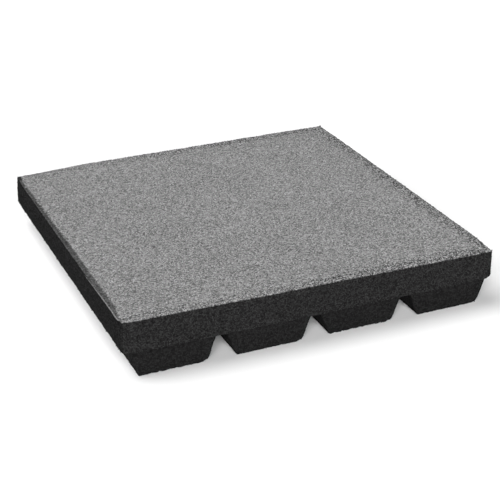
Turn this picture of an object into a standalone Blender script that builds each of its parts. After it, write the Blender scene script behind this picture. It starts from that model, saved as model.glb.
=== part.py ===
# Square rubber tile, moulded in one piece from bonded granulate: a flat slab on four
# ribs that run from front to back, with three open drainage channels between them.
# Metres, +Z up. The origin is the middle of the underside, so the tile rests on z = 0.

import bmesh
import bpy

NODE_NAME = "tile"

# Overall sizes
SIDE = 0.500                   # width and length of the tile
HEIGHT = 0.074                 # floor to the top face
RIB_HEIGHT = 0.033             # floor to the roof of a channel

# Slab
LEDGE_HEIGHT = 0.004           # rise of the sloping ledge under the left and right sides
TOP_EDGE_CHAMFER = 0.0010      # chamfer along the four top edges
CORNER_CHAMFER = 0.0020        # chamfer of the four upright corners

# Ribs
RIB_COUNT = 4
RIB_INSET_ROOF = 0.0070        # from a rib's share of the width to its flank, at the roof
RIB_INSET_FLOOR = 0.0190       # the same at the floor, so that the flanks lean in
RIB_END_SETBACK = 0.0025       # from the slab's end to the rib's end, at the roof
RIB_END_DRAFT = 0.0005         # further setback of the rib's end at the floor
RIB_EDGE_RADIUS = 0.0040       # rounding of a rib's two long lower edges
RIB_EDGE_SEGMENTS = 4

HALF = SIDE / 2
RIB_PITCH = SIDE / RIB_COUNT
SLAB_SIDE_BOTTOM = RIB_HEIGHT + LEDGE_HEIGHT
TOLERANCE = 1e-5

GREY_GRANULATE = (0.26, 0.26, 0.26, 1.0)
BLACK_GRANULATE = (0.025, 0.025, 0.025, 1.0)
GRANULATE_ROUGHNESS = 0.9


def remove_all_objects():
    for old in list(bpy.data.objects):
        bpy.data.objects.remove(old, do_unlink=True)


def rubber(name, colour):
    material = bpy.data.materials.new(name)
    material.use_nodes = True
    shader = material.node_tree.nodes["Principled BSDF"]
    shader.inputs["Base Color"].default_value = colour
    shader.inputs["Roughness"].default_value = GRANULATE_ROUGHNESS
    shader.inputs["Metallic"].default_value = 0.0
    return material


def slab_section():
    """The slab seen along Y, as (x, z) points, with a point at the top of each rib flank."""
    underside = []
    for rib in range(RIB_COUNT):
        left = -HALF + rib * RIB_PITCH
        underside.append((left + RIB_INSET_ROOF, RIB_HEIGHT))
        underside.append((left + RIB_PITCH - RIB_INSET_ROOF, RIB_HEIGHT))
    left_side = [(-HALF, HEIGHT), (-HALF, SLAB_SIDE_BOTTOM)]
    right_side = [(HALF, SLAB_SIDE_BOTTOM), (HALF, HEIGHT)]
    return left_side + underside + right_side


def add_slab(bm):
    """Skin the section through four stations, and return the faces that the ribs grow from."""
    section = slab_section()
    rib_end = HALF - RIB_END_SETBACK
    stations = [-HALF, -rib_end, rib_end, HALF]
    rings = []
    for y in stations:
        rings.append([bm.verts.new((x, y, z)) for x, z in section])
    rib_faces = []
    first_flank = 2
    for stretch, (near, far) in enumerate(zip(rings, rings[1:])):
        for a in range(len(section)):
            b = (a + 1) % len(section)
            face = bm.faces.new((near[a], near[b], far[b], far[a]))
            under_rib = (a - first_flank) % 2 == 0 and first_flank <= a < first_flank + 2 * RIB_COUNT
            if stretch == 1 and under_rib:
                rib_faces.append(face)
    bm.faces.new(rings[0])
    bm.faces.new(list(reversed(rings[-1])))
    bmesh.ops.recalc_face_normals(bm, faces=bm.faces)
    return rib_faces


def add_ribs(bm, rib_faces):
    """Grow each rib down from the slab, tapering to its foot, and round its long lower edges."""
    feet = bmesh.ops.extrude_discrete_faces(bm, faces=rib_faces)["faces"]
    long_edges = []
    for foot in feet:
        middle = foot.calc_center_median()
        for vert in foot.verts:
            lean = RIB_INSET_FLOOR - RIB_INSET_ROOF
            vert.co.x += lean if vert.co.x < middle.x else -lean
            vert.co.y += RIB_END_DRAFT if vert.co.y < middle.y else -RIB_END_DRAFT
            vert.co.z = 0.0
        for edge in foot.edges:
            first, second = edge.verts
            if abs(first.co.x - second.co.x) < TOLERANCE:
                long_edges.append(edge)
    bmesh.ops.bevel(
        bm,
        geom=long_edges,
        offset=RIB_EDGE_RADIUS,
        offset_type="WIDTH",
        segments=RIB_EDGE_SEGMENTS,
        profile=0.5,
        affect="EDGES",
    )


def edges_between(bm, is_end):
    """Edges whose two ends both pass the test."""
    return [edge for edge in bm.edges if all(is_end(vert.co) for vert in edge.verts)]


def chamfer(bm, edges, width):
    bmesh.ops.bevel(bm, geom=edges, offset=width, segments=1, affect="EDGES")


def chamfer_slab(bm):
    """Break the top edges and the upright corners of the slab."""
    top_edges = []
    for axis, side in ((0, -1), (0, 1), (1, -1), (1, 1)):
        def on_top_edge(co):
            return co.z > HEIGHT - TOLERANCE and side * co[axis] > HALF - TOLERANCE

        top_edges += edges_between(bm, on_top_edge)
    chamfer(bm, top_edges, TOP_EDGE_CHAMFER)

    def at_corner(co):
        return abs(co.x) > HALF - TOLERANCE and abs(co.y) > HALF - TOLERANCE

    uprights = []
    for edge in edges_between(bm, at_corner):
        first, second = edge.verts
        if abs(first.co.z - second.co.z) > HEIGHT / 4:
            uprights.append(edge)
    chamfer(bm, uprights, CORNER_CHAMFER)


def make_tile():
    bm = bmesh.new()
    rib_faces = add_slab(bm)
    add_ribs(bm, rib_faces)
    chamfer_slab(bm)
    bmesh.ops.dissolve_limit(bm, angle_limit=0.001, verts=bm.verts, edges=bm.edges)
    bmesh.ops.recalc_face_normals(bm, faces=bm.faces)
    top_slot = 1
    for face in bm.faces:
        on_top = face.calc_center_median().z > HEIGHT - TOLERANCE
        face.material_index = top_slot if on_top else 0
    mesh = bpy.data.meshes.new(NODE_NAME)
    bm.to_mesh(mesh)
    bm.free()
    mesh.materials.append(rubber("black_granulate", BLACK_GRANULATE))
    mesh.materials.append(rubber("grey_granulate_top", GREY_GRANULATE))
    tile = bpy.data.objects.new(NODE_NAME, mesh)
    bpy.context.scene.collection.objects.link(tile)
    return tile


remove_all_objects()
make_tile()
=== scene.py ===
from math import cos, pi, radians, sin

import bpy
import numpy as np
from bpy.props import FloatProperty, FloatVectorProperty, IntProperty, PointerProperty
from mathutils import Matrix, Vector, noise


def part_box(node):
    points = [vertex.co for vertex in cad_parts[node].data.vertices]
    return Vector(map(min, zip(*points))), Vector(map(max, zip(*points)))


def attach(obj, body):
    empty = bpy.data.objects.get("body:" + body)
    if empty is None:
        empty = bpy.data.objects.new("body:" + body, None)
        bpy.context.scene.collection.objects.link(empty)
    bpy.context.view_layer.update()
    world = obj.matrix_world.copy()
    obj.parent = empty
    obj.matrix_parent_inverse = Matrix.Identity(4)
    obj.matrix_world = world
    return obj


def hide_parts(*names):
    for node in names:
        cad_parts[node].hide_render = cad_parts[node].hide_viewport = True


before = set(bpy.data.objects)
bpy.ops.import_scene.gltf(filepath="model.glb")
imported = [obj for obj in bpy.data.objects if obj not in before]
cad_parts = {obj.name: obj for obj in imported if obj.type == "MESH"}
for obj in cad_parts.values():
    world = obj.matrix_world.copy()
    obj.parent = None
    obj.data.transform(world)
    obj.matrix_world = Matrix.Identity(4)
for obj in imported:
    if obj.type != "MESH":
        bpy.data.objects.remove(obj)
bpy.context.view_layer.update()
tile_low, tile_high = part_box("tile")

bl_info = {
    "name": "Rubber tile",
    "version": (1, 0, 0),
    "blender": (4, 5, 0),
    "location": "View3D > Sidebar > Tile",
    "description": "Dresses a square tile of bonded rubber granulate",
    "category": "Object",
}

BODY = "root"
NODE = "tile"

# Sizes that the solid was built with, in metres
ROOF_HEIGHT = 0.033            # floor to the roof of a drainage channel
RIB_PITCH = 0.125              # from one rib to the next
RIB_SETBACK = 0.003            # from the slab's end to a rib's end, at the floor
FOOT_INSET = 0.019             # from a rib's share of the width to its foot
RIB_TOP = ROOF_HEIGHT + 0.0005  # faces with their middle below this take the ribs' darker colours and shallower grain

MIDDLE = (tile_low + tile_high) / 2
TOP = tile_high.z
FLOOR = tile_low.z
LEFT = tile_low.x
RIGHT = tile_high.x
FRONT = tile_low.y
BACK = tile_high.y
SIDE = BACK - FRONT


class TileFinish(bpy.types.PropertyGroup):
    """Colours and grain of the bonded granulate, with painted shade on the left and right sides"""

    grain: FloatProperty(
        name="Grain",
        description="Width of one crumb of rubber",
        default=0.0017,
        min=0.0005,
        unit="LENGTH",
    )
    grey_light: FloatVectorProperty(
        name="Top, light crumbs",
        description="Colour of the lightest crumbs of the top face",
        subtype="COLOR",
        default=(0.413, 0.413, 0.413),
    )
    grey_dark: FloatVectorProperty(
        name="Top, dark crumbs",
        description="Colour of the darkest crumbs of the top face",
        subtype="COLOR",
        default=(0.09, 0.09, 0.09),
    )
    black_light: FloatVectorProperty(
        name="Sides, light crumbs",
        description="Colour of the lightest crumbs of the slab's sides",
        subtype="COLOR",
        default=(0.0315, 0.0315, 0.0315),
    )
    black_dark: FloatVectorProperty(
        name="Sides, dark crumbs",
        description="Colour of the darkest crumbs of the slab's sides",
        subtype="COLOR",
        default=(0.0066, 0.0066, 0.0066),
    )
    rib_light: FloatVectorProperty(
        name="Ribs, light crumbs",
        description="Colour of the lightest crumbs of the ribs",
        subtype="COLOR",
        default=(0.019, 0.019, 0.019),
    )
    rib_dark: FloatVectorProperty(
        name="Ribs, dark crumbs",
        description="Colour of the darkest crumbs of the ribs",
        subtype="COLOR",
        default=(0.0066, 0.0066, 0.0066),
    )
    # Painted shade: the left and right sides are darkened to this share of the front's tone, standing
    # in for how the light falls on them.
    side_shade_share: FloatProperty(
        name="Left and right sides",
        description="Tone of the left and right sides, as a share of the front's",
        default=0.64,
        min=0.0,
        max=1.0,
        subtype="FACTOR",
    )
    groove_light: FloatVectorProperty(
        name="Groove, light crumbs",
        description="Colour of the lightest crumbs in the worn groove along the left edge",
        subtype="COLOR",
        default=(0.11, 0.11, 0.11),
    )
    groove_dark: FloatVectorProperty(
        name="Groove, dark crumbs",
        description="Colour of the darkest crumbs in the same groove",
        subtype="COLOR",
        default=(0.035, 0.035, 0.035),
    )
    seed: IntProperty(
        name="Seed",
        description="Another number lays the crumbs another way",
        default=7,
        min=0,
    )


class TileRelief(bpy.types.PropertyGroup):
    """How far the moulded surface departs from flat"""

    lump_size: FloatProperty(
        name="Lump size",
        description="Width of the soft lumps in the surface",
        default=0.016,
        unit="LENGTH",
    )
    lump_depth: FloatProperty(
        name="Lump depth",
        description="Height of the soft lumps",
        default=0.0003,
        unit="LENGTH",
    )
    bump_size: FloatProperty(
        name="Bump size",
        description="Width of the small bumps in the body's mesh",
        default=0.0045,
        unit="LENGTH",
    )
    bump_depth: FloatProperty(
        name="Bump depth",
        description="Height of the small bumps in the body's mesh",
        default=0.0002,
        unit="LENGTH",
    )
    groove_back: FloatProperty(
        name="Groove width at the back",
        description="Width of the worn groove along the left top edge, at its back end",
        default=0.0049,
        unit="LENGTH",
    )
    groove_front: FloatProperty(
        name="Groove width at the front",
        description="Width of the same groove in its front half",
        default=0.0077,
        unit="LENGTH",
    )
    groove_depth: FloatProperty(
        name="Groove depth",
        description="Depth of the same groove",
        default=0.0002,
        unit="LENGTH",
    )
    edge_width: FloatProperty(
        name="Edge wear width",
        description="How far from an edge crumbs have broken away",
        default=0.0035,
        unit="LENGTH",
    )
    edge_depth: FloatProperty(
        name="Edge wear depth",
        description="How deep the broken edges are",
        default=0.0003,
        unit="LENGTH",
    )


class TileCrumbs(bpy.types.PropertyGroup):
    """Crumbs that stand a little proud of the moulded surface"""

    top_count: IntProperty(
        name="On half the top",
        description="Crumbs standing proud of each half of the top face",
        default=15500,
        min=0,
        max=16000,
    )
    side_count: IntProperty(
        name="On the sides",
        description="Crumbs standing proud of the slab's sides",
        default=10000,
        min=0,
        max=12000,
    )
    rib_count: IntProperty(
        name="On the ribs",
        description="Crumbs standing proud of the ribs and the channel roofs",
        default=10000,
        min=0,
        max=12000,
    )
    edge_count: IntProperty(
        name="Along the edges",
        description="Crumbs clinging to the broken edges",
        default=5000,
        min=0,
        max=6000,
    )
    top_proud: FloatProperty(
        name="Height on the top",
        description="How far a crumb stands out of the top face",
        default=0.0003,
        unit="LENGTH",
    )
    side_proud: FloatProperty(
        name="Height on the sides",
        description="How far a crumb stands out of the sides",
        default=0.00035,
        unit="LENGTH",
    )
    rib_proud: FloatProperty(
        name="Height on the ribs",
        description="How far a crumb stands out of the ribs",
        default=0.0002,
        unit="LENGTH",
    )
    edge_proud: FloatProperty(
        name="Height along the edges",
        description="How far a crumb stands out of an edge",
        default=0.0003,
        unit="LENGTH",
    )


class PhotoStage(bpy.types.PropertyGroup):
    """Camera, floor and light"""

    azimuth: FloatProperty(
        name="Azimuth",
        description="Camera's turn about the tile, where 0 looks along +Y",
        default=radians(-23.083),
        subtype="ANGLE",
    )
    elevation: FloatProperty(
        name="Elevation",
        description="Camera's angle above the floor",
        default=radians(25.549),
        subtype="ANGLE",
    )
    roll: FloatProperty(
        name="Roll",
        description="Camera's turn about its line of sight",
        default=radians(-0.453),
        subtype="ANGLE",
    )
    distance: FloatProperty(
        name="Distance",
        description="From the camera to the plane it is aimed at",
        default=1.7896,
        unit="LENGTH",
    )
    aim_right: FloatProperty(
        name="Aim right",
        description="From the middle of the top face to the picture's middle, to the right",
        default=0.0170,
        unit="LENGTH",
    )
    aim_up: FloatProperty(
        name="Aim up",
        description="From the middle of the top face to the picture's middle, upwards",
        default=-0.0557,
        unit="LENGTH",
    )
    focal_length: FloatProperty(
        name="Focal length",
        description="Lens on a sensor 36 mm wide, in millimetres",
        default=93.90,
    )
    floor_colour: FloatVectorProperty(
        name="Floor",
        description="Colour of the studio floor",
        subtype="COLOR",
        default=(0.8, 0.8, 0.8),
    )
    key_azimuth: FloatProperty(
        name="Key azimuth",
        description="Where the main light stands, where 0 is in front of the tile",
        default=radians(-22.0),
        subtype="ANGLE",
    )
    key_elevation: FloatProperty(
        name="Key elevation",
        description="How high the main light stands",
        default=radians(21.0),
        subtype="ANGLE",
    )
    key_width: FloatProperty(
        name="Key width",
        description="Angle that the main light spans, seen from the tile",
        default=radians(50.0),
        subtype="ANGLE",
    )
    key_strength: FloatProperty(
        name="Key strength",
        description="Power of the main light, in watts for each square metre",
        default=5.4,
    )
    side_azimuth: FloatProperty(
        name="Side azimuth",
        description="Where the side light stands, where 0 is in front of the tile",
        default=radians(-116.0),
        subtype="ANGLE",
    )
    side_elevation: FloatProperty(
        name="Side elevation",
        description="How high the side light stands",
        default=radians(43.0),
        subtype="ANGLE",
    )
    side_width: FloatProperty(
        name="Side width",
        description="Angle that the side light spans, seen from the tile",
        default=radians(46.0),
        subtype="ANGLE",
    )
    side_strength: FloatProperty(
        name="Side strength",
        description="Power of the side light, in watts for each square metre",
        default=1.75,
    )
    back_azimuth: FloatProperty(
        name="Back azimuth",
        description="Where the back light stands, where 0 is in front of the tile",
        default=radians(-140.0),
        subtype="ANGLE",
    )
    back_elevation: FloatProperty(
        name="Back elevation",
        description="How high the back light stands",
        default=radians(68.0),
        subtype="ANGLE",
    )
    back_width: FloatProperty(
        name="Back width",
        description="Angle that the back light spans, seen from the tile",
        default=radians(34.0),
        subtype="ANGLE",
    )
    back_strength: FloatProperty(
        name="Back strength",
        description="Power of the back light, in watts for each square metre",
        default=1.4,
    )
    sky_strength: FloatProperty(
        name="Sky strength",
        description="Brightness of the even light all round",
        default=0.01,
    )


# Shader groups

BLACK = (0.0, 0.0, 0.0, 1.0)
SQUARE_PLACE = "square_place"  # attribute: where a point would be if the tile were a true square
FINE_DETAIL = 3.0              # octaves of the finer noises
SPECULAR = 0.01                # the rubber is matt
BUMP_STRENGTH = 0.7

# The pressed crumbs
CREVICE = 0.16                 # width of the dark crevice round a crumb, in crumbs
DUST_WAVES = 2.7               # waves of fine dust to a crumb
GRIT_WAVES = 3.0               # and of the grit on a loose crumb
CLOUD_WAVES = 16.0             # waves of the soft blotches to a metre
CLOUD_EDGES = (0.3, 0.7)       # noise at which a blotch starts, and at which it is whole
PLATEAU_HEIGHT = 0.6           # heights for the bump: of a crumb over its crevice,
STEP_HEIGHT = 0.3              # of one crumb over another,
GRIT_HEIGHT = 0.35             # and of the grit on it
PUSH_SPAN = 1.15               # push of the lightest crumb's tone over the darkest's
PUSH_DOWN = 0.97               # push of the darkest crumb's tone towards black
GRANULATE_ROUGHNESS = (0.98, 0.82)  # of the darkest and the lightest pressed crumb
CRUMB_ROUGHNESS = (0.95, 0.8)  # and of the darkest and the lightest loose one

# The grey coat and its marks. A pair says where a mark starts and where it is whole,
# or where it starts to fade and where it ends, in metres.
STRAY_WAVES = 420.0            # waves to a metre of the fine raggedness of its outline
STRAY_REACH = 0.005
WANDER_WAVES = 70.0            # and of the slow one
WANDER_REACH = 0.004
COAT_DEPTH = (-0.0013, -0.0004)  # in height, where 0 is the top
COAT_RIM = (0.0008, 0.003)     # in from the edges
COAT_OVERHANG = 0.0014         # how much further out the coat reaches at the front
MARGIN_FADE = (0.005, 0.026)   # in from the front, right and back edges
MARGIN_ALONG = (-0.16, 0.1)    # in x, from its weaker left part
MARGIN_LEFT = 0.5              # strength of that part
# Painted shade on the left and right sides: this pair says where it starts to fade and where it ends.
SIDE_SHADE_RIM = (0.0008, 0.0024)    # in from the left and right sides

# The worn groove along the left top edge, with distances from the front edge
GROOVE_TAPER = (-0.022, 0.062)  # it widens from a point, which would lie past the corner
GROOVE_NARROWS = 0.18          # and narrows again from here to the back
GROOVE_PALE = (0.16, 0.26)     # where its paler front part ends
GROOVE_FRONT_STRENGTH = 0.87   # strength of that part
GROOVE_RIM = (0.0006, 0.002)   # in from the left side
GROOVE_SOFTNESS = 0.001        # of its inner side, either way
GROOVE_FRAY = 1.9              # raggedness of its inner side, to that of the coat
GROOVE_RIM_FRAY = 0.4          # and of its outer side
BARE_PATCH = (0.008, 0.018)    # in from the back edge, where the coat is gone
BARE_STRENGTH = 0.7


def new_group(name, inputs, outputs):
    """A shader node group with the named sockets: inputs are (name, kind, default)."""
    group = bpy.data.node_groups.new(name, "ShaderNodeTree")
    for label, kind, default in inputs:
        socket = group.interface.new_socket(label, in_out="INPUT", socket_type=kind)
        socket.default_value = default
    for label, kind in outputs:
        group.interface.new_socket(label, in_out="OUTPUT", socket_type=kind)
    entry = group.nodes.new("NodeGroupInput")
    leave = group.nodes.new("NodeGroupOutput")
    return group, entry, leave


def feed(tree, socket, value):
    """Give an input a plain value, or link another node's output to it."""
    if isinstance(value, bpy.types.NodeSocket):
        tree.links.new(value, socket)
    else:
        socket.default_value = value


def add_node(tree, kind, settings=None, values=None):
    """A node with its settings made, and its inputs given by name or number."""
    node = tree.nodes.new(kind)
    for key, value in (settings or {}).items():
        setattr(node, key, value)
    for key, value in (values or {}).items():
        feed(tree, node.inputs[key], value)
    return node


def maths(tree, operation, first, second=0.0):
    """The result of a Math node on two sockets or numbers."""
    node = add_node(tree, "ShaderNodeMath", {"operation": operation}, {0: first, 1: second})
    return node.outputs[0]


def blend(tree, amount, first, second):
    """The result of mixing two colours."""
    node = add_node(tree, "ShaderNodeMix", {"data_type": "RGBA"}, {0: amount, 6: first, 7: second})
    return node.outputs[2]


def ramp(tree, value, low, high, to_low=0.0, to_high=1.0):
    """A value carried softly from one range to another, and held at its ends."""
    node = add_node(
        tree,
        "ShaderNodeMapRange",
        {"interpolation_type": "SMOOTHSTEP"},
        {"Value": value, "From Min": low, "From Max": high, "To Min": to_low, "To Max": to_high},
    )
    return node.outputs["Result"]


def noise_at(tree, place, scale, detail=2.0):
    """Noise around a half at a position, with that many waves to the unit."""
    values = {"Vector": place, "Scale": scale, "Detail": detail}
    return add_node(tree, "ShaderNodeTexNoise", {}, values).outputs["Fac"]


def scaled(tree, vector, factor):
    """A vector or colour made that many times as large."""
    values = {0: vector, "Scale": factor}
    return add_node(tree, "ShaderNodeVectorMath", {"operation": "SCALE"}, values).outputs[0]


def contrasted(tree, colour, own_tone, contrast):
    """A crumb's colour, pushed down to black or a little up after its own tone."""
    push = maths(tree, "SUBTRACT", maths(tree, "MULTIPLY", own_tone, PUSH_SPAN), PUSH_DOWN)
    return scaled(tree, colour, maths(tree, "ADD", 1.0, maths(tree, "MULTIPLY", push, contrast)))


def make_granulate_group():
    """Pressed crumbs of rubber: each has its own tone, with dark crevices between them."""
    group, entry, leave = new_group(
        "Bonded granulate",
        [
            ("Grain Size", "NodeSocketFloat", 0.002),
            ("Dark", "NodeSocketColor", (0.1, 0.1, 0.1, 1.0)),
            ("Light", "NodeSocketColor", (0.3, 0.3, 0.3, 1.0)),
            ("Crevice Shade", "NodeSocketFloat", 0.5),
            ("Blotches", "NodeSocketFloat", 0.1),
            ("Contrast", "NodeSocketFloat", 0.0),
        ],
        [
            ("Color", "NodeSocketColor"),
            ("Roughness", "NodeSocketFloat"),
            ("Height", "NodeSocketFloat"),
        ],
    )
    place = add_node(group, "ShaderNodeTexCoord").outputs["Object"]
    per_metre = maths(group, "DIVIDE", 1.0, entry.outputs["Grain Size"])
    in_grains = scaled(group, place, per_metre)

    at_one = {"Vector": in_grains, "Scale": 1.0}
    cells = add_node(group, "ShaderNodeTexVoronoi", {"feature": "F1"}, at_one)
    borders = add_node(group, "ShaderNodeTexVoronoi", {"feature": "DISTANCE_TO_EDGE"}, at_one)
    own_tone = add_node(group, "ShaderNodeSeparateColor", {}, {0: cells.outputs["Color"]}).outputs[0]
    raised = ramp(group, borders.outputs["Distance"], 0.0, CREVICE)
    dust = noise_at(group, in_grains, DUST_WAVES, FINE_DETAIL)

    tone = maths(group, "ADD", own_tone, maths(group, "SUBTRACT", dust, 0.5))
    crumb = blend(group, tone, entry.outputs["Dark"], entry.outputs["Light"])
    sunk = maths(group, "SUBTRACT", 1.0, raised)
    shade = maths(group, "MULTIPLY", sunk, entry.outputs["Crevice Shade"])
    cloud = ramp(group, noise_at(group, place, CLOUD_WAVES, FINE_DETAIL), *CLOUD_EDGES)
    cloud_shade = maths(group, "MULTIPLY", cloud, entry.outputs["Blotches"])
    colour = blend(group, cloud_shade, blend(group, shade, crumb, BLACK), BLACK)
    colour = contrasted(group, colour, own_tone, entry.outputs["Contrast"])
    group.links.new(colour, leave.inputs["Color"])

    rough = ramp(group, own_tone, 0.0, 1.0, *GRANULATE_ROUGHNESS)
    group.links.new(rough, leave.inputs["Roughness"])

    plateau = maths(group, "MULTIPLY", raised, PLATEAU_HEIGHT)
    step = maths(group, "MULTIPLY", own_tone, STEP_HEIGHT)
    grit = maths(group, "MULTIPLY", dust, GRIT_HEIGHT)
    height = maths(group, "ADD", maths(group, "ADD", plateau, step), grit)
    group.links.new(height, leave.inputs["Height"])
    return group


def make_crumb_group():
    """One crumb of rubber: its own tone all over, with fine grit."""
    group, entry, leave = new_group(
        "Loose crumb",
        [
            ("Grain Size", "NodeSocketFloat", 0.002),
            ("Random", "NodeSocketFloat", 0.5),
            ("Dark", "NodeSocketColor", (0.1, 0.1, 0.1, 1.0)),
            ("Light", "NodeSocketColor", (0.3, 0.3, 0.3, 1.0)),
            ("Contrast", "NodeSocketFloat", 0.0),
        ],
        [
            ("Color", "NodeSocketColor"),
            ("Roughness", "NodeSocketFloat"),
            ("Height", "NodeSocketFloat"),
        ],
    )
    place = add_node(group, "ShaderNodeTexCoord").outputs["Object"]
    per_metre = maths(group, "DIVIDE", GRIT_WAVES, entry.outputs["Grain Size"])
    grit = noise_at(group, place, per_metre)
    tone = maths(group, "ADD", entry.outputs["Random"], maths(group, "SUBTRACT", grit, 0.5))
    colour = blend(group, tone, entry.outputs["Dark"], entry.outputs["Light"])
    colour = contrasted(group, colour, entry.outputs["Random"], entry.outputs["Contrast"])
    group.links.new(colour, leave.inputs["Color"])
    rough = ramp(group, tone, 0.0, 1.0, *CRUMB_ROUGHNESS)
    group.links.new(rough, leave.inputs["Roughness"])
    group.links.new(grit, leave.inputs["Height"])
    return group


def make_coat_group():
    """Masks that follow the tile's edges: the grey coat, its loose margin, the groove, and the
    painted shade of the left and right sides.
    """
    group, entry, leave = new_group(
        "Grey coat",
        [
            ("Top Height", "NodeSocketFloat", 0.07),
            ("Half Width", "NodeSocketFloat", 0.25),
            ("Back Groove", "NodeSocketFloat", 0.005),
            ("Front Groove", "NodeSocketFloat", 0.007),
        ],
        [
            ("Coat", "NodeSocketFloat"),
            ("Margin", "NodeSocketFloat"),
            ("Groove", "NodeSocketFloat"),
            ("Side", "NodeSocketFloat"),
        ],
    )
    place = add_node(group, "ShaderNodeAttribute", {"attribute_name": SQUARE_PLACE}).outputs["Vector"]
    x, y, z = add_node(group, "ShaderNodeSeparateXYZ", {}, {0: place}).outputs
    half = entry.outputs["Half Width"]
    stray = maths(group, "SUBTRACT", noise_at(group, place, STRAY_WAVES, FINE_DETAIL), 0.5)
    stray = maths(group, "MULTIPLY", stray, STRAY_REACH)
    wander = maths(group, "SUBTRACT", noise_at(group, place, WANDER_WAVES), 0.5)
    wander = maths(group, "MULTIPLY", wander, WANDER_REACH)

    from_left = maths(group, "ADD", half, x)
    from_right = maths(group, "SUBTRACT", half, x)
    from_front = maths(group, "ADD", half, y)
    from_back = maths(group, "SUBTRACT", half, y)
    from_side = maths(group, "MINIMUM", from_left, from_right)
    past_front = maths(group, "ADD", from_front, COAT_OVERHANG)
    inward = maths(group, "MINIMUM", from_side, maths(group, "MINIMUM", past_front, from_back))
    past_rim = ramp(group, maths(group, "ADD", inward, stray), *COAT_RIM)
    up_to_top = ramp(group, maths(group, "SUBTRACT", z, entry.outputs["Top Height"]), *COAT_DEPTH)
    on_top = maths(group, "MULTIPLY", past_rim, up_to_top)

    from_open = maths(group, "MINIMUM", from_right, maths(group, "MINIMUM", from_front, from_back))
    loose = ramp(group, maths(group, "ADD", from_open, wander), *MARGIN_FADE, 1.0, 0.0)
    looser = ramp(group, x, *MARGIN_ALONG, MARGIN_LEFT, 1.0)
    margin = maths(group, "MULTIPLY", maths(group, "MULTIPLY", loose, looser), on_top)
    group.links.new(margin, leave.inputs["Margin"])

    at_front = entry.outputs["Front Groove"]
    at_back = entry.outputs["Back Groove"]
    width = ramp(group, from_front, GROOVE_NARROWS, SIDE, at_front, at_back)
    width = maths(group, "MULTIPLY", width, ramp(group, from_front, *GROOVE_TAPER))
    frayed = maths(group, "ADD", wander, maths(group, "MULTIPLY", stray, GROOVE_FRAY))
    inside = maths(group, "SUBTRACT", maths(group, "ADD", from_left, frayed), width)
    in_width = ramp(group, inside, -GROOVE_SOFTNESS, GROOVE_SOFTNESS, 1.0, 0.0)
    rim = maths(group, "ADD", from_left, maths(group, "MULTIPLY", stray, GROOVE_RIM_FRAY))
    off_rim = ramp(group, rim, *GROOVE_RIM)
    groove = maths(group, "MULTIPLY", maths(group, "MULTIPLY", in_width, off_rim), up_to_top)
    strength = ramp(group, from_front, *GROOVE_PALE, GROOVE_FRONT_STRENGTH, 1.0)
    groove = maths(group, "MULTIPLY", groove, strength)
    group.links.new(groove, leave.inputs["Groove"])
    bare = maths(group, "MULTIPLY", groove, ramp(group, from_back, *BARE_PATCH, BARE_STRENGTH, 0.0))
    cover = maths(group, "SUBTRACT", maths(group, "MAXIMUM", on_top, groove), bare)
    group.links.new(cover, leave.inputs["Coat"])
    # Painted shade of the left and right sides: 1 on them, falling to 0 further in.
    group.links.new(ramp(group, from_side, *SIDE_SHADE_RIM, 1.0, 0.0), leave.inputs["Side"])
    return group


# Materials

SLAB_GRAIN_DEPTH = 0.0005      # depth of the grain that only the shading gives
RIB_GRAIN_DEPTH = 0.0004
FINE_GRAIN_DEPTH = 0.0002      # on the crumbs and the lip
LIP_DARK = 0.3                 # tones of the lip, as shares of the top's lightest
LIP_LIGHT = 0.75

GROUPS = {}
MATERIALS = {}


def with_alpha(colour):
    return (colour[0], colour[1], colour[2], 1.0)


def add_coat(tree, relief):
    """The masks that follow the tile's edges, as the sockets of their group."""
    coat = add_node(tree, "ShaderNodeGroup", {"node_tree": GROUPS["coat"]})
    coat.inputs["Top Height"].default_value = TOP
    coat.inputs["Half Width"].default_value = RIGHT
    coat.inputs["Back Groove"].default_value = relief.groove_back
    coat.inputs["Front Groove"].default_value = relief.groove_front
    return coat.outputs


def add_rubber(name, kind, finish, colours, bump_depth):
    """A finish of the rubber, from the granulate or the crumb group.

    The function colours puts what it needs into the material's tree, and returns the
    crumbs' dark colour, their light colour and their contrast.
    """
    material = bpy.data.materials.new(name)
    material.use_nodes = True
    tree = material.node_tree
    shader = tree.nodes["Principled BSDF"]
    shader.inputs["Specular IOR Level"].default_value = SPECULAR
    dark, light, contrast = colours(tree)
    values = {"Grain Size": finish.grain, "Dark": dark, "Light": light, "Contrast": contrast}
    if kind == "crumb":
        values["Random"] = add_node(tree, "ShaderNodeNewGeometry").outputs["Random Per Island"]
    surface = add_node(tree, "ShaderNodeGroup", {"node_tree": GROUPS[kind]}, values)
    tree.links.new(surface.outputs["Color"], shader.inputs["Base Color"])
    tree.links.new(surface.outputs["Roughness"], shader.inputs["Roughness"])
    bump = add_node(
        tree, "ShaderNodeBump", {},
        {"Strength": BUMP_STRENGTH, "Distance": bump_depth, "Height": surface.outputs["Height"]},
    )
    tree.links.new(bump.outputs["Normal"], shader.inputs["Normal"])
    MATERIALS[name] = material


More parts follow.
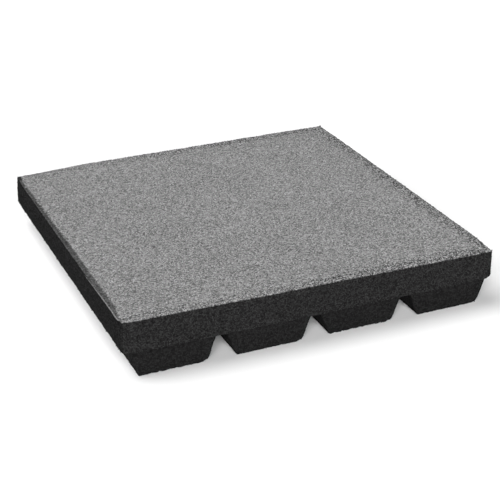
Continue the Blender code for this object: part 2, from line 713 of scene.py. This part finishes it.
def make_materials(finish, relief):
    GROUPS["granulate"] = make_granulate_group()
    GROUPS["crumb"] = make_crumb_group()
    GROUPS["coat"] = make_coat_group()

    def slab_tone_and_side_shade(tree, masks, black, grey, groove):
        # Painted shade: the black of the left and right sides is darkened to the side share.
        side = tuple(finish.side_shade_share * part for part in black)
        below = blend(tree, masks["Side"], with_alpha(black), with_alpha(side))
        top = blend(tree, masks["Groove"], with_alpha(grey), with_alpha(groove))
        return blend(tree, masks["Coat"], below, top)

    def slab(tree):
        masks = add_coat(tree, relief)
        dark = slab_tone_and_side_shade(tree, masks, finish.black_dark, finish.grey_dark, finish.groove_dark)
        light = slab_tone_and_side_shade(tree, masks, finish.black_light, finish.grey_light, finish.groove_light)
        return dark, light, masks["Margin"]

    def rib(tree):
        return with_alpha(finish.rib_dark), with_alpha(finish.rib_light), 0.0

    def lip(tree):
        dark = with_alpha(LIP_DARK * finish.grey_light)
        light = with_alpha(LIP_LIGHT * finish.grey_light)
        return dark, light, 0.0

    add_rubber("slab_granulate", "granulate", finish, slab, SLAB_GRAIN_DEPTH)
    add_rubber("slab_crumb", "crumb", finish, slab, FINE_GRAIN_DEPTH)
    add_rubber("rib_granulate", "granulate", finish, rib, RIB_GRAIN_DEPTH)
    add_rubber("rib_crumb", "crumb", finish, rib, FINE_GRAIN_DEPTH)
    add_rubber("lip_granulate", "granulate", finish, lip, FINE_GRAIN_DEPTH)


# The body

OCTREE_DEPTH = 8               # the remesh has 256 cells along its cube
OCTREE_SCALE = 0.7             # and the tile fills this much of it: cells of 2.8 mm
SHARP_FROM = radians(50.0)     # an edge is kept sharp from this angle on


def smooth_step(value, low, high):
    """0 below the range and 1 above it, with a soft rise between."""
    amount = min(max((value - low) / (high - low), 0.0), 1.0)
    return amount * amount * (3.0 - 2.0 * amount)


def smooth_steps(values, low, high):
    """The same as smooth_step, for an array."""
    amount = np.clip((values - low) / (high - low), 0.0, 1.0)
    return amount * amount * (3.0 - 2.0 * amount)


WORN_FEET = 4.0                # wear at the feet of the first and third rib, to a top edge's
SOUND_FEET = 1.2               # and at those of the others
BITE_SIZE = 0.003              # width of one bite out of an edge
BUMP_GAIN = 2.0                # noise seldom passes a half


def edge_nearness(point, width):
    """1 on a top edge, more at the foot of a rib's end, falling to 0 at that width from it."""
    inward = min(point.x - LEFT, RIGHT - point.x, point.y - FRONT, BACK - point.y)
    top_edge = 1.0 - smooth_step(TOP - point.z + inward, 0.0, width)
    behind_rib_end = min(point.y - FRONT, BACK - point.y) - RIB_SETBACK
    foot_edge = 1.0 - smooth_step(point.z - FLOOR + abs(behind_rib_end), 0.0, width)
    rib = int((point.x - LEFT) / RIB_PITCH)
    wear = WORN_FEET if rib % 2 == 0 else SOUND_FEET
    return max(top_edge, wear * foot_edge)


def groove_width(y, relief):
    """Width of the worn groove at a place along the left top edge."""
    back_share = smooth_step(y - FRONT, GROOVE_NARROWS, SIDE)
    width = relief.groove_front + (relief.groove_back - relief.groove_front) * back_share
    return width * smooth_step(y - FRONT, *GROOVE_TAPER)


GROOVE_LEAST = 0.0001          # keeps the groove's width above 0 at its tip
GROOVE_WALL = (0.6, 1.2)       # its inner wall rises between these shares of its width
GROOVE_DEEPENS = (0.004, 0.020)  # from the front, where its depth starts and is whole
GROOVE_SHOULDER = 0.004        # down the side, where nothing sinks any more


def groove_sink(point, relief):
    """How far the worn groove lies below the top, which it meets again just before the corner."""
    width = groove_width(point.y, relief) + GROOVE_LEAST
    foot, brim = GROOVE_WALL
    across = 1.0 - smooth_step(point.x - LEFT, foot * width, brim * width)
    along = smooth_step(point.y - FRONT, *GROOVE_DEEPENS)
    from_top = 1.0 - smooth_step(TOP - point.z, 0.0, GROOVE_SHOULDER)
    return relief.groove_depth * across * along * from_top


# The rubber is soft, and each of these pulls one corner of the tile off the true square.
# Each has the corner's signs in x and y, the pull, how far along x and y it reaches, and
# which share of it is left at the slab's bottom and at the ribs. In order they move the
# back left corner forwards and inwards, the back right one inwards and backwards, the
# near right one down, and the near left one backwards, inwards and, at its tip, further.
PULLS = (
    {"at": (-1, 1), "pull": (0.0, -0.009, 0.0), "reach": (0.130, 0.130), "below": (0.75, 0.75)},
    {"at": (-1, 1), "pull": (0.0018, 0.0, 0.0), "reach": (0.045, 0.045), "below": (0.25, 0.25)},
    {"at": (1, 1), "pull": (-0.0012, 0.0, 0.0), "reach": (0.060, 0.060), "below": (1.0, 1.0)},
    {"at": (1, 1), "pull": (0.0, 0.0025, 0.0), "reach": (0.350, 0.100), "below": (1.0, 1.0)},
    {"at": (1, -1), "pull": (0.0, 0.0, -0.0027), "reach": (0.300, 0.045), "below": (0.0, 0.0)},
    {"at": (-1, -1), "pull": (-0.0005, 0.0045, 0.0), "reach": (0.240, 0.060), "below": (0.5, 0.0)},
    {"at": (-1, -1), "pull": (0.0010, 0.0, 0.0), "reach": (0.060, 0.140), "below": (0.3, 0.0)},
    {"at": (-1, -1), "pull": (0.0027, 0.0042, -0.0004), "reach": (0.017, 0.017), "below": (0.2, 0.0)},
)


PULL_BLEND = 0.003             # down from the channel roofs, where the ribs' share is reached
SQUARE_ROUNDS = 3              # rounds in which a pulled place is traced back


def corner_pull(places):
    """How far each of an array of places is pulled off the true square."""
    x, y, z = places.T
    up_slab = smooth_steps(z, ROOF_HEIGHT, TOP)
    up_rib = smooth_steps(z, ROOF_HEIGHT - PULL_BLEND, ROOF_HEIGHT)
    total = np.zeros_like(places)
    for one in PULLS:
        across, along = one["at"]
        reach_x, reach_y = one["reach"]
        at_slab, at_rib = one["below"]
        away = np.hypot((x - across * RIGHT) / reach_x, (y - along * BACK) / reach_y)
        share = at_rib + (at_slab - at_rib) * up_rib + (1.0 - at_slab) * up_slab
        share = share * (1.0 - smooth_steps(away, 0.0, 1.0))
        total += share[:, None] * np.array(one["pull"])
    return total


def note_square_place(mesh):
    """Store where each vertex would be if the tile were a true square, for the materials."""
    places = np.empty(len(mesh.vertices) * 3, dtype=np.float32)
    mesh.vertices.foreach_get("co", places)
    places = places.reshape(-1, 3).astype(float)
    square = places
    for _ in range(SQUARE_ROUNDS):
        square = places - corner_pull(square)
    attribute = mesh.attributes.new(SQUARE_PLACE, "FLOAT_VECTOR", "POINT")
    attribute.data.foreach_set("vector", square.astype(np.float32).ravel())


FOOT_WEAR = 0.002              # how far a rib's foot is worn up at its near right corner
FOOT_WEAR_REACH = 0.008        # and how far that goes across the rib and up it
FOOT_WEAR_LENGTH = 0.020       # and back from the slab's front


def foot_lift(point):
    """How far the front end of a rib's right lower edge has been worn up."""
    along_row = (point.x - LEFT) % RIB_PITCH
    from_flank = abs(RIB_PITCH - FOOT_INSET - along_row)
    at_flank = 1.0 - smooth_step(from_flank, 0.0, FOOT_WEAR_REACH)
    at_end = 1.0 - smooth_step(point.y - FRONT, RIB_SETBACK, FOOT_WEAR_LENGTH)
    return FOOT_WEAR * at_flank * at_end * (1.0 - smooth_step(point.z, 0.0, FOOT_WEAR_REACH))


SAG = 0.0014                   # how far the left side's lower edge hangs down
SAG_INWARD = (0.001, 0.006)    # in from the left side, where the sag fades and ends
SAG_BELOW = (0.0005, 0.0035)   # up from the channel roofs, where it starts and is whole
SAG_ABOVE = 0.005              # up from there, where it starts to fade again
SAG_END = 0.020                # below the top, where it ends


def ledge_sag(point):
    """How far the lower edge of the left side hangs down."""
    at_side = 1.0 - smooth_step(point.x - LEFT, *SAG_INWARD)
    starts, whole = SAG_BELOW
    under = smooth_step(point.z, ROOF_HEIGHT + starts, ROOF_HEIGHT + whole)
    over = 1.0 - smooth_step(point.z, ROOF_HEIGHT + SAG_ABOVE, TOP - SAG_END)
    return SAG * at_side * under * over


def move_vertices(mesh, relief):
    """Push each vertex in or out: soft lumps, small bumps, and crumbs broken from the edges."""
    count = len(mesh.vertices)
    places = np.empty(count * 3, dtype=np.float32)
    mesh.vertices.foreach_get("co", places)
    places = places.reshape(-1, 3)
    normals = np.empty(count * 3, dtype=np.float32)
    mesh.vertex_normals.foreach_get("vector", normals)
    normals = normals.reshape(-1, 3)
    for index in range(count):
        point = Vector(places[index])
        lump = noise.noise(point / relief.lump_size) * relief.lump_depth
        bump = noise.noise(point / relief.bump_size) * relief.bump_depth * BUMP_GAIN
        near = edge_nearness(point, relief.edge_width)
        broken = 0.0
        if near > 0.0:
            bite = 0.5 + noise.noise(point / BITE_SIZE)
            broken = max(bite, 0.0) * near * relief.edge_depth
        places[index] += normals[index] * (lump + bump - broken)
        places[index, 2] += foot_lift(point) - ledge_sag(point) - groove_sink(point, relief)
    places += corner_pull(places)
    np.clip(places[:, 2], FLOOR, None, out=places[:, 2])
    mesh.vertices.foreach_set("co", places.ravel())
    mesh.update()


def make_body(relief):
    """A copy of the solid with an even mesh and its sharp edges kept, then given its relief."""
    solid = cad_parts[NODE]
    source = bpy.data.objects.new("tile_body_source", solid.data.copy())
    bpy.context.scene.collection.objects.link(source)
    remesh = source.modifiers.new("even_faces", "REMESH")
    remesh.mode = "SHARP"
    remesh.octree_depth = OCTREE_DEPTH
    remesh.scale = OCTREE_SCALE
    dressed = source.evaluated_get(bpy.context.evaluated_depsgraph_get())
    mesh = bpy.data.meshes.new_from_object(dressed)
    bpy.data.objects.remove(source)
    mesh.name = "tile_body"
    move_vertices(mesh, relief)
    mesh.materials.clear()
    mesh.materials.append(MATERIALS["slab_granulate"])
    mesh.materials.append(MATERIALS["rib_granulate"])
    for face in mesh.polygons:
        face.material_index = int(face.center.z < RIB_TOP)
    mesh.shade_smooth()
    mesh.set_sharp_from_angle(angle=SHARP_FROM)
    return bpy.data.objects.new("tile_body", mesh)


# Crumbs

CRUMB_SHAPES = ((3, 0.3), (4, 0.4), (5, 0.3))  # sides, and the share of crumbs with them
CRUMB_STRAY = 0.0014           # how far a crumb may lie from the middle of its face
CRUMB_RADIUS = (0.32, 0.68)    # smallest and largest, as shares of the crumb's size
CRUMB_HEIGHT = (0.2, 1.6)      # lowest and highest, as shares of how far crumbs stand proud
CRUMB_ROOT = 1.5               # how deep its lower ring is sunk, as such a share
CRUMB_TILT = 0.13              # usual slope of a crumb's top
CRUMB_TURN = 0.3               # how far a corner strays round the crumb, in radians
CRUMB_REACH = (0.7, 1.25)      # nearest and furthest corner, as shares of the radius
CRUMB_TOP = 0.75               # width of the raised ring to that of the sunk one
EDGE_CRUMB_SIZE = 0.9          # size of the crumbs along the edges to the others'

FACES_UP = 0.8                 # the upright part of the normal of a face that looks up
FACES_SIDEWAYS = 0.6           # and of one that looks sideways
CLEAR_OF_GROOVE = 0.001        # between the groove and the crumbs of the top
TOP_EDGE_WIDTH = 0.010         # of the strip that edge crumbs cling to, in from the edge
TOP_EDGE_HEIGHT = 0.004        # and down from it
FOOT_EDGE_WIDTH = 0.003        # of the same strip at the foot of a rib's end
FOOT_EDGE_START = 0.0004       # above the floor, where that strip starts
RIB_CRUMB_START = 0.0015       # above the floor, where the rib crumbs start
SLAB_START = ROOF_HEIGHT + 0.001  # where they end and the side crumbs start
SIDE_CRUMB_END = 0.002         # below the top, where the side crumbs end


def body_faces():
    """Middles and normals of the body's faces, in an order that follows their place."""
    polygons = bpy.data.objects["tile_body"].data.polygons
    both = []
    for attribute in ("center", "normal"):
        values = np.empty(len(polygons) * 3, dtype=np.float32)
        polygons.foreach_get(attribute, values)
        both.append(values.reshape(-1, 3).astype(float))
    middles, normals = both
    keys = np.round(middles, 4)
    order = np.lexsort((keys[:, 2], keys[:, 1], keys[:, 0]))
    return middles[order], normals[order]


def crumb_points(middles, normals, sides, size, proud, rng):
    """Corners of flat-topped crumbs with that many sides: a sunk ring, then a raised one."""
    count = len(middles)
    upright = np.abs(normals[:, 2:3]) > FACES_UP
    helper = np.where(upright, [[0.0, 1.0, 0.0]], [[0.0, 0.0, 1.0]])
    across = np.cross(normals, helper)
    across /= np.linalg.norm(across, axis=1, keepdims=True)
    along = np.cross(normals, across)
    middles = middles + across * rng.uniform(-CRUMB_STRAY, CRUMB_STRAY, (count, 1))
    middles = middles + along * rng.uniform(-CRUMB_STRAY, CRUMB_STRAY, (count, 1))
    radius = size * rng.uniform(*CRUMB_RADIUS, (count, 1))
    height = proud * rng.uniform(*CRUMB_HEIGHT, (count, 1))
    tilt = rng.normal(0.0, CRUMB_TILT, (count, 2))
    angles = rng.uniform(0.0, 2.0 * pi, (count, 1)) + np.arange(sides) * 2.0 * pi / sides
    angles = angles + rng.uniform(-CRUMB_TURN, CRUMB_TURN, (count, sides))
    reach = radius * rng.uniform(*CRUMB_REACH, (count, sides))
    rings = []
    for level, share in ((-CRUMB_ROOT * proud, 1.0), (height, CRUMB_TOP)):
        u = reach * np.cos(angles) * share
        v = reach * np.sin(angles) * share
        tilted = share < 1.0
        w = level + (u * tilt[:, :1] + v * tilt[:, 1:]) * tilted
        ring = middles[:, None, :] + u[..., None] * across[:, None, :]
        ring = ring + v[..., None] * along[:, None, :] + w[..., None] * normals[:, None, :]
        rings.append(ring)
    points = np.concatenate(rings, axis=1).reshape(-1, 3)
    points[:, 2] = np.maximum(points[:, 2], FLOOR)
    return points


def crumb_faces(first, count, sides):
    """Faces of that many crumbs, whose corners start at that number."""
    faces = []
    ring = range(sides)
    for crumb in range(count):
        low = first + crumb * 2 * sides
        high = low + sides
        faces.append([low + n for n in ring])
        faces.append([high + n for n in reversed(ring)])
        for n in ring:
            m = (n + 1) % sides
            faces.append([low + m, low + n, high + n, high + m])
    return faces


def add_crumbs(name, wanted, count, proud, size=1.0):
    """A piece of crumbs scattered over the body's faces that pass the test."""
    finish = bpy.context.scene.tile_finish
    rng = np.random.default_rng([finish.seed, sum(map(ord, name))])
    middles, normals = body_faces()
    allowed = np.flatnonzero(wanted(middles, normals))
    picked = rng.choice(allowed, size=min(count, len(allowed)), replace=False)
    middles = middles[picked]
    normals = normals[picked]
    points = []
    faces = []
    numbers = []
    start = 0
    done = 0
    for sides, share in CRUMB_SHAPES:
        last = sides == CRUMB_SHAPES[-1][0]
        end = len(middles) if last else start + int(share * len(middles))
        part = slice(start, end)
        width = size * finish.grain
        points.append(crumb_points(middles[part], normals[part], sides, width, proud, rng))
        faces.extend(crumb_faces(done, end - start, sides))
        numbers.append(np.repeat(middles[part, 2] < RIB_TOP, sides + 2))
        done += len(points[-1])
        start = end
    mesh = bpy.data.meshes.new(name)
    mesh.from_pydata(np.concatenate(points).tolist(), [], faces)
    mesh.materials.append(MATERIALS["slab_crumb"])
    mesh.materials.append(MATERIALS["rib_crumb"])
    mesh.polygons.foreach_set("material_index", np.concatenate(numbers).astype(np.int32))
    mesh.update()
    adopt(bpy.data.objects.new(name, mesh))


def adopt(piece):
    """Store a piece's square places, link it, hang it on the body it rides on and hide the solid it
    stands for.
    """
    note_square_place(piece.data)
    bpy.context.scene.collection.objects.link(piece)
    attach(piece, BODY)
    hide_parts(NODE)


class TILE_OT_body(bpy.types.Operator):
    """Mould the slab and its ribs, with lumps, bumps and broken edges"""

    bl_idname = "tile.body"
    bl_label = "Body"

    def execute(self, context):
        make_materials(context.scene.tile_finish, context.scene.tile_relief)
        adopt(make_body(context.scene.tile_relief))
        return {"FINISHED"}


class TILE_OT_top_crumbs(bpy.types.Operator):
    """Scatter grey crumbs that stand proud of the top face, as two pieces"""

    bl_idname = "tile.top_crumbs"
    bl_label = "Top crumbs"

    def execute(self, context):
        crumbs = context.scene.tile_crumbs
        groove_end = LEFT + context.scene.tile_relief.groove_front + CLEAR_OF_GROOVE

        def on_top(middles, normals):
            near_top = middles[:, 2] > TOP - TOP_EDGE_HEIGHT
            return (normals[:, 2] > FACES_UP) & near_top & (middles[:, 0] > groove_end)

        def left_half(middles, normals):
            return on_top(middles, normals) & (middles[:, 0] < MIDDLE.x)

        def right_half(middles, normals):
            return on_top(middles, normals) & (middles[:, 0] >= MIDDLE.x)

        add_crumbs("top_crumbs_left", left_half, crumbs.top_count, crumbs.top_proud)
        add_crumbs("top_crumbs_right", right_half, crumbs.top_count, crumbs.top_proud)
        return {"FINISHED"}


class TILE_OT_side_crumbs(bpy.types.Operator):
    """Scatter black crumbs that stand proud of the slab's four sides"""

    bl_idname = "tile.side_crumbs"
    bl_label = "Side crumbs"

    def execute(self, context):
        crumbs = context.scene.tile_crumbs

        def on_side(middles, normals):
            height = middles[:, 2]
            sideways = np.abs(normals[:, 2]) < FACES_SIDEWAYS
            return sideways & (height > SLAB_START) & (height < TOP - SIDE_CRUMB_END)

        add_crumbs("side_crumbs", on_side, crumbs.side_count, crumbs.side_proud)
        return {"FINISHED"}


class TILE_OT_rib_crumbs(bpy.types.Operator):
    """Scatter dark crumbs that stand proud of the ribs and the channel roofs"""

    bl_idname = "tile.rib_crumbs"
    bl_label = "Rib crumbs"

    def execute(self, context):
        crumbs = context.scene.tile_crumbs

        def below(middles, normals):
            height = middles[:, 2]
            return (height > FLOOR + RIB_CRUMB_START) & (height < SLAB_START)

        add_crumbs("rib_crumbs", below, crumbs.rib_count, crumbs.rib_proud)
        return {"FINISHED"}


class TILE_OT_edge_crumbs(bpy.types.Operator):
    """Scatter crumbs that cling to the top edges and to the feet of the ribs' ends"""

    bl_idname = "tile.edge_crumbs"
    bl_label = "Edge crumbs"

    def execute(self, context):
        crumbs = context.scene.tile_crumbs

        def on_edge(middles, normals):
            x, y, z = middles.T
            from_end = np.minimum(y - FRONT, BACK - y)
            inward = np.minimum(RIGHT - x, from_end)
            top_edge = (inward < TOP_EDGE_WIDTH) & (TOP - z < TOP_EDGE_HEIGHT)
            foot_edge = z - FLOOR + np.abs(from_end - RIB_SETBACK) < FOOT_EDGE_WIDTH
            return top_edge | foot_edge & (z > FLOOR + FOOT_EDGE_START)

        count, proud = crumbs.edge_count, crumbs.edge_proud
        add_crumbs("edge_crumbs", on_edge, count, proud, EDGE_CRUMB_SIZE)
        return {"FINISHED"}


class TILE_OT_edge_lip(bpy.types.Operator):
    """Draw the thin, broken ridge of grey on the outer edge of the left groove"""

    bl_idname = "tile.edge_lip"
    bl_label = "Edge lip"

    def execute(self, context):
        adopt(make_lip())
        return {"FINISHED"}


# The lip, whose height is given as a share: 1 is whole, 0 is broken off
LIP_STEP = 0.0012              # from one section of the lip to the next
LIP_WIDTH = 0.0008
LIP_INSET = 0.0006             # from the sides to the lip's middle line
LIP_ROOT = 0.0016              # how far the lip's root lies below the top
LIP_CREST = 0.0003             # how far its crest stands above the top where it is whole
LIP_BROKEN = 0.0007            # how far the crest lies below the top where it is broken
LIP_BACK = 0.155               # from the near corner to the lip's end along the left edge
LIP_WHOLE = 0.070              # how far from the near corner it is whole there
LIP_DROP = 0.55                # height share that it then loses,
LIP_DROP_LENGTH = 0.010        # over this length
LIP_FADE = 0.040               # length over which it sinks away before its end
LIP_FRONT = 0.036              # from the near corner to the lip's end along the front edge
LIP_FRONT_SHARE = 1.2          # what it loses its height from along that edge,
LIP_FRONT_EDGES = (0.1, 0.9)   # where it is broken off below the first and whole above the last
LIP_AT_CORNER = 0.8            # height share at the corner itself
LIP_RAGGED = (0.8, 0.7)        # raggedness along the left and front edges
LIP_BITES = (0.004, 0.003)     # and the length of one bite there
NOISE_ROW = 3.0                # the row of the noise that gives the raggedness
FROM_CORNER = Vector((-0.7, -0.7, 0.0))  # outwards at the near left corner


def lip_path():
    """Stations as (place, outward direction, height share), forwards and round the corner."""
    corner = Vector((LEFT + LIP_INSET, FRONT + LIP_INSET, 0.0))
    stations = []
    ragged_left, ragged_front = LIP_RAGGED
    bite_left, bite_front = LIP_BITES
    for index in range(int(LIP_BACK / LIP_STEP), 0, -1):
        reach = index * LIP_STEP
        ragged = ragged_left * noise.noise(Vector((NOISE_ROW, reach / bite_left, 0.0)))
        whole = 1.0 - LIP_DROP * smooth_step(reach, LIP_WHOLE, LIP_WHOLE + LIP_DROP_LENGTH)
        share = whole * (1.0 - smooth_step(reach, LIP_WHOLE, LIP_BACK)) + ragged
        share = min(max(share, 0.0), 1.0) - smooth_step(reach, LIP_BACK - LIP_FADE, LIP_BACK)
        stations.append((corner + Vector((0.0, reach, 0.0)), Vector((-1.0, 0.0, 0.0)), share))
    stations.append((corner, FROM_CORNER, LIP_AT_CORNER))
    for index in range(1, int(LIP_FRONT / LIP_STEP)):
        reach = index * LIP_STEP
        ragged = ragged_front * noise.noise(Vector((reach / bite_front, NOISE_ROW, 0.0)))
        share = smooth_step(LIP_FRONT_SHARE - reach / LIP_FRONT + ragged, *LIP_FRONT_EDGES)
        stations.append((corner + Vector((reach, 0.0, 0.0)), Vector((0.0, -1.0, 0.0)), share))
    return stations


def make_lip():
    """A ridge of four-sided sections that thins out and sinks where it has broken off."""
    points = []
    faces = []
    stations = lip_path()
    for index, (place, outward, share) in enumerate(stations):
        root = TOP - LIP_ROOT
        crest = TOP - LIP_BROKEN + (LIP_CREST + LIP_BROKEN) * share
        outer = place + outward * LIP_WIDTH / 2
        inner = place - outward * LIP_WIDTH / 2
        points.append((outer.x, outer.y, root))
        points.append((inner.x, inner.y, root))
        points.append((inner.x, inner.y, crest))
        points.append((outer.x, outer.y, crest))
        if index == 0:
            faces.append((3, 2, 1, 0))
            continue
        low = 4 * (index - 1)
        for n in range(4):
            m = (n + 1) % 4
            faces.append((low + n, low + m, low + 4 + m, low + 4 + n))
    last = 4 * (len(stations) - 1)
    faces.append((last, last + 1, last + 2, last + 3))
    points = np.array(points)
    points += corner_pull(points)
    mesh = bpy.data.meshes.new("edge_lip")
    mesh.from_pydata(points.tolist(), [], faces)
    mesh.materials.append(MATERIALS["lip_granulate"])
    mesh.update()
    return bpy.data.objects.new("edge_lip", mesh)


class TILE_OT_stage(bpy.types.Operator):
    """Lay the floor, light it softly and set the camera at the photograph's angle"""

    bl_idname = "tile.stage"
    bl_label = "Stage"

    def execute(self, context):
        stage = context.scene.tile_stage
        make_floor(stage)
        for name in ("key", "side", "back"):
            add_sun(stage, name)
        make_sky(stage)
        make_camera(stage)
        return {"FINISHED"}


FLOOR_HALF = 40.0              # the floor runs on to the horizon of every view
FLOOR_ROUGHNESS = 0.9
SENSOR_WIDTH = 36.0            # of the camera, in millimetres


def make_floor(stage):
    signs = ((-1, -1), (1, -1), (1, 1), (-1, 1))
    corners = [(x * FLOOR_HALF, y * FLOOR_HALF, FLOOR) for x, y in signs]
    mesh = bpy.data.meshes.new("floor")
    mesh.from_pydata(corners, [], [(0, 1, 2, 3)])
    material = bpy.data.materials.new("studio_floor")
    material.use_nodes = True
    shader = material.node_tree.nodes["Principled BSDF"]
    shader.inputs["Base Color"].default_value = with_alpha(stage.floor_colour)
    shader.inputs["Roughness"].default_value = FLOOR_ROUGHNESS
    shader.inputs["Specular IOR Level"].default_value = 0.0
    mesh.materials.append(material)
    floor = bpy.data.objects.new("floor", mesh)
    bpy.context.scene.collection.objects.link(floor)


def direction(azimuth, elevation):
    """Unit vector towards that azimuth, where 0 is in front of the tile, and elevation."""
    level = cos(elevation)
    return Vector((sin(azimuth) * level, -cos(azimuth) * level, sin(elevation)))


def add_sun(stage, name):
    """A softbox so large and far away that it lights the whole tile alike."""
    data = bpy.data.lights.new(name + "_light", "SUN")
    data.energy = getattr(stage, name + "_strength")
    data.angle = getattr(stage, name + "_width")
    towards = direction(getattr(stage, name + "_azimuth"), getattr(stage, name + "_elevation"))
    light = bpy.data.objects.new(name + "_light", data)
    light.rotation_mode = "QUATERNION"
    light.rotation_quaternion = towards.to_track_quat("Z", "Y")
    bpy.context.scene.collection.objects.link(light)


def make_sky(stage):
    """Faint even light from all round, in front of a white background."""
    scene = bpy.context.scene
    scene.view_settings.view_transform = "Standard"
    world = bpy.data.worlds.new("studio")
    world.use_nodes = True
    tree = world.node_tree
    sky = tree.nodes["Background"]
    sky.inputs["Color"].default_value = (1.0, 1.0, 1.0, 1.0)
    sky.inputs["Strength"].default_value = stage.sky_strength
    backdrop = add_node(tree, "ShaderNodeBackground", {}, {"Color": (1.0, 1.0, 1.0, 1.0)})
    path = add_node(tree, "ShaderNodeLightPath")
    mix = add_node(tree, "ShaderNodeMixShader", {}, {0: path.outputs["Is Camera Ray"]})
    tree.links.new(sky.outputs[0], mix.inputs[1])
    tree.links.new(backdrop.outputs[0], mix.inputs[2])
    tree.links.new(mix.outputs[0], tree.nodes["World Output"].inputs["Surface"])
    scene.world = world


def make_camera(stage):
    back = direction(stage.azimuth, stage.elevation)
    level = (-back).cross(Vector((0.0, 0.0, 1.0))).normalized()
    upright = level.cross(-back)
    right = level * cos(stage.roll) + upright * sin(stage.roll)
    up = upright * cos(stage.roll) - level * sin(stage.roll)
    aim = Vector((MIDDLE.x, MIDDLE.y, TOP)) + right * stage.aim_right + up * stage.aim_up
    data = bpy.data.cameras.new("camera")
    data.sensor_width = SENSOR_WIDTH
    data.lens = stage.focal_length
    camera = bpy.data.objects.new("camera", data)
    camera.location = aim + back * stage.distance
    camera.rotation_mode = "QUATERNION"
    camera.rotation_quaternion = Matrix((right, up, back)).transposed().to_quaternion()
    bpy.context.scene.collection.objects.link(camera)
    bpy.context.scene.camera = camera


STEPS = (
    TILE_OT_body,
    TILE_OT_top_crumbs,
    TILE_OT_side_crumbs,
    TILE_OT_rib_crumbs,
    TILE_OT_edge_crumbs,
    TILE_OT_edge_lip,
    TILE_OT_stage,
)


class TILE_PT_panel(bpy.types.Panel):
    """Every step of dressing the tile"""

    bl_label = "Rubber tile"
    bl_idname = "TILE_PT_panel"
    bl_space_type = "VIEW_3D"
    bl_region_type = "UI"
    bl_category = "Tile"

    def draw(self, context):
        scene = context.scene
        for settings in (scene.tile_finish, scene.tile_relief, scene.tile_crumbs, scene.tile_stage):
            box = self.layout.box()
            for name in settings.bl_rna.properties.keys():
                if name not in ("rna_type", "name"):
                    box.prop(settings, name)
        for step in STEPS:
            self.layout.operator(step.bl_idname)


SETTINGS = {
    "tile_finish": TileFinish,
    "tile_relief": TileRelief,
    "tile_crumbs": TileCrumbs,
    "tile_stage": PhotoStage,
}


def register():
    for cls in (*SETTINGS.values(), *STEPS, TILE_PT_panel):
        bpy.utils.register_class(cls)
    for name, cls in SETTINGS.items():
        setattr(bpy.types.Scene, name, PointerProperty(type=cls))


def unregister():
    for name in SETTINGS:
        delattr(bpy.types.Scene, name)
    for cls in (TILE_PT_panel, *reversed(STEPS), *reversed(SETTINGS.values())):
        bpy.utils.unregister_class(cls)


def main():
    register()
    for step in STEPS:
        group, action = step.bl_idname.split(".")
        getattr(getattr(bpy.ops, group), action)()


if __name__ == "__main__":
    main()
